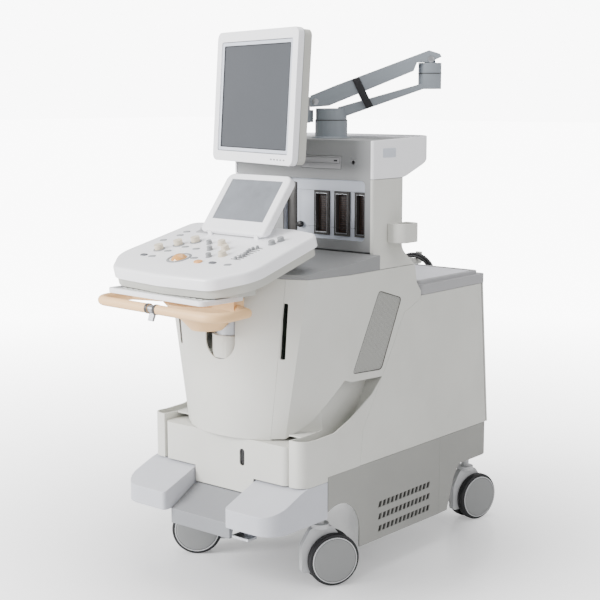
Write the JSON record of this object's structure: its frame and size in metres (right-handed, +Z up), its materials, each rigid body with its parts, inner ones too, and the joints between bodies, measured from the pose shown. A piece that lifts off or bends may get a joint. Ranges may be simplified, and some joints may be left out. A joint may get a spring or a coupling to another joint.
{
  "type": "ultrasound machine",
  "caption": "Wheeled ultrasound scanner with a lifting, swivelling control console, a probe tower and a monitor on a folding arm.",
  "frame": {"origin": "on the floor under the middle of the machine's box", "axes": "+Z up, +X to the machine's right as the user sees it, the user stands at -Y"},
  "size_m": [0.6348, 1.2949, 1.5461],
  "materials": {
    "frame_steel": "black powder coat",
    "base_grey": "fine grain",
    "tread_grey": "satin",
    "cover_light": "fine satin grain",
    "grille": "perforated",
    "shelf_grey": "satin",
    "deck_grey": "satin",
    "tower_white": "satin gloss",
    "socket_metal": "brushed",
    "drive_dark": "satin",
    "board": "card cage",
    "post_silver": "anodised",
    "console_white": "satin gloss",
    "handle_peach": "soft satin",
    "ball_amber": "polished",
    "knob_cream": "satin",
    "arm_grey": "satin paint",
    "strap_black": "woven strap",
    "monitor_white": "satin gloss",
    "screen": "switched-off panel",
    "tyre": "solid rubber with grey caps",
    "caster_grey": "satin",
    "cable_black": "round cord"
  },
  "bodies": {
    "cart": {"chassis_frame": "frame_steel", "base_side_covers": "base_grey", "base_rear_cover": "base_grey", "footrests": "tread_grey", "step_platform": "tread_grey", "lower_front_cover": "cover_light", "column_cover": "cover_light", "body_panel_right": "cover_light", "body_panel_left": "cover_light", "speaker_grilles": "grille", "side_panels": "cover_light", "side_bins": "cover_light", "rear_shelf": "shelf_grey", "rear_panel": "cover_light", "deck_cover": "deck_grey", "tower_face": "deck_grey", "tower_sides": "tower_white", "tower_back": "deck_grey", "rear_tray": "tower_white", "receptacle_panel": "cover_light", "probe_sockets": "socket_metal", "disc_drive": "drive_dark", "cup_holders": "tower_white", "electronics_rack": "board", "lift_actuator": "post_silver", "arm_post": "arm_grey", "cord_lead": "cable_black", "cord_coil": "cable_black", "power_plug": "cable_black"},
    "pedal": {"brake_pedal": "post_silver"},
    "tray_disc": {"disc_tray": "drive_dark"},
    "lift": {"lift_post": "post_silver"},
    "console": {"console_shell": "console_white", "console_top": "console_white", "handle": "handle_peach"},
    "lever": {"handle_lever": "post_silver"},
    "keyboard": {"keyboard_tray": "console_white"},
    "touch": {"touch_screen": "console_white", "touch_glass": "screen"},
    "ball": {"trackball": "ball_amber"},
    "knob_l": {"knob_left": "knob_cream"},
    "knob_m": {"knob_middle": "knob_cream"},
    "knob_r": {"knob_right": "knob_cream"},
    "arm_a": {"arm_lower": "arm_grey", "arm_strap": "strap_black"},
    "elbow": {"arm_elbow": "arm_grey"},
    "arm_b": {"arm_upper": "arm_grey"},
    "neck": {"monitor_neck": "post_silver"},
    "yoke": {"monitor_yoke": "arm_grey"},
    "monitor": {"monitor_shell": "monitor_white", "monitor_bezel": "monitor_white", "monitor_screen": "screen"},
    "swivel_front_right": {"caster_fork_front_right": "caster_grey"},
    "wheel_front_right": {"caster_wheel_front_right": "tyre"},
    "swivel_front_left": {"caster_fork_front_left": "caster_grey"},
    "wheel_front_left": {"caster_wheel_front_left": "tyre"},
    "swivel_rear_right": {"caster_fork_rear_right": "caster_grey"},
    "wheel_rear_right": {"caster_wheel_rear_right": "tyre"},
    "swivel_rear_left": {"caster_fork_rear_left": "caster_grey"},
    "wheel_rear_left": {"caster_wheel_rear_left": "tyre"}
  },
  "joints": [
    {"name": "caster_swivel_front_right", "type": "hinge", "parent": "cart", "child": "swivel_front_right", "pos_m": [0.216, -0.2153, 0.22], "axis": [0, 0, 1], "continuous": true},
    {"name": "wheel_roll_front_right", "type": "hinge", "parent": "swivel_front_right", "child": "wheel_front_right", "pos_m": [0.232, -0.18759, 0.075], "axis": [0.866, -0.5, 0], "continuous": true},
    {"name": "caster_swivel_front_left", "type": "hinge", "parent": "cart", "child": "swivel_front_left", "pos_m": [-0.216, -0.2153, 0.22], "axis": [0, 0, 1], "continuous": true},
    {"name": "wheel_roll_front_left", "type": "hinge", "parent": "swivel_front_left", "child": "wheel_front_left", "pos_m": [-0.24051, -0.23587, 0.075], "axis": [-0.6428, 0.766, 0], "continuous": true},
    {"name": "caster_swivel_rear_right", "type": "hinge", "parent": "cart", "child": "swivel_rear_right", "pos_m": [0.216, 0.5367, 0.22], "axis": [0, 0, 1], "continuous": true},
    {"name": "wheel_roll_rear_right", "type": "hinge", "parent": "swivel_rear_right", "child": "wheel_rear_right", "pos_m": [0.22374, 0.56775, 0.075], "axis": [0.9703, -0.2419, 0], "continuous": true},
    {"name": "caster_swivel_rear_left", "type": "hinge", "parent": "cart", "child": "swivel_rear_left", "pos_m": [-0.216, 0.5367, 0.22], "axis": [0, 0, 1], "continuous": true},
    {"name": "wheel_roll_rear_left", "type": "hinge", "parent": "swivel_rear_left", "child": "wheel_rear_left", "pos_m": [-0.21266, 0.56852, 0.075], "axis": [0.9945, -0.1045, 0], "continuous": true},
    {"name": "brake_pedal_press", "type": "hinge", "parent": "cart", "child": "pedal", "pos_m": [0.082, -0.3213, 0.164], "axis": [1, 0, 0], "range_deg": [0, 12]},
    {"name": "disc_tray_slide", "type": "slide", "parent": "cart", "child": "tray_disc", "axis": [0, -1, 0], "range_m": [0, 0.085]},
    {"name": "console_lift", "type": "slide", "parent": "cart", "child": "lift", "axis": [0, 0, 1], "range_m": [-0.008, 0.025]},
    {"name": "console_swivel", "type": "hinge", "parent": "lift", "child": "console", "pos_m": [0, -0.3323, 0.8], "axis": [0, 0, 1], "range_deg": [-8, 12]},
    {"name": "handle_lever_pull", "type": "hinge", "parent": "console", "child": "lever", "pos_m": [-0.01777, -0.62276, 0.812], "axis": [0.9981, -0.061, 0], "range_deg": [-15, 0], "stiffness_Nm_per_rad": 0.3},
    {"name": "keyboard_slide", "type": "slide", "parent": "console", "child": "keyboard", "axis": [-0.061, -0.9981, 0], "range_m": [0, 0.15]},
    {"name": "touch_screen_tilt", "type": "hinge", "parent": "console", "child": "touch", "pos_m": [0.00035, -0.32655, 0.98624], "axis": [0.9981, -0.061, 0], "range_deg": [-5, 18]},
    {"name": "trackball_roll", "type": "hinge", "parent": "console", "child": "ball", "pos_m": [-0.042, -0.49484, 0.91791], "axis": [0.9981, -0.061, 0], "continuous": true},
    {"name": "knob_turn_left", "type": "hinge", "parent": "console", "child": "knob_l", "pos_m": [-0.16271, -0.4536, 0.94249], "axis": [-0.0158, -0.2583, 0.9659], "continuous": true},
    {"name": "knob_turn_middle", "type": "hinge", "parent": "console", "child": "knob_m", "pos_m": [-0.12817, -0.41314, 0.95388], "axis": [-0.0158, -0.2583, 0.9659], "continuous": true},
    {"name": "knob_turn_right", "type": "hinge", "parent": "console", "child": "knob_r", "pos_m": [-0.0903, -0.38352, 0.96242], "axis": [-0.0158, -0.2583, 0.9659], "continuous": true},
    {"name": "arm_swivel", "type": "hinge", "parent": "cart", "child": "arm_a", "pos_m": [0, 0.1037, 1.3], "axis": [0, 0, 1], "range_deg": [0, 35]},
    {"name": "elbow_swivel", "type": "hinge", "parent": "arm_a", "child": "elbow", "pos_m": [0.22377, 0.28816, 1.44], "axis": [0, 0, 1], "range_deg": [0, 80], "deforming": ["arm_strap"]},
    {"name": "arm_tilt", "type": "hinge", "parent": "elbow", "child": "arm_b", "pos_m": [0.22377, 0.28816, 1.467], "axis": [-0.6361, 0.7716, 0], "range_deg": [0, 25]},
    {"name": "neck_level", "type": "hinge", "parent": "arm_b", "child": "neck", "pos_m": [-0.03704, 0.07317, 1.34398], "axis": [-0.6361, 0.7716, 0], "range_deg": [-26, 1]},
    {"name": "monitor_swivel", "type": "hinge", "parent": "neck", "child": "yoke", "pos_m": [-0.05556, 0.0579, 1.30398], "axis": [0, 0, 1], "range_deg": [0, 22]},
    {"name": "monitor_tilt", "type": "hinge", "parent": "yoke", "child": "monitor", "pos_m": [-0.05249, -0.07234, 1.3536], "axis": [0.9432, -0.3322, 0], "range_deg": [-14, 0.5]}
  ],
  "couplings": [
    {"joint": "neck_level", "follows": "arm_tilt", "ratio": -1}
  ]
}
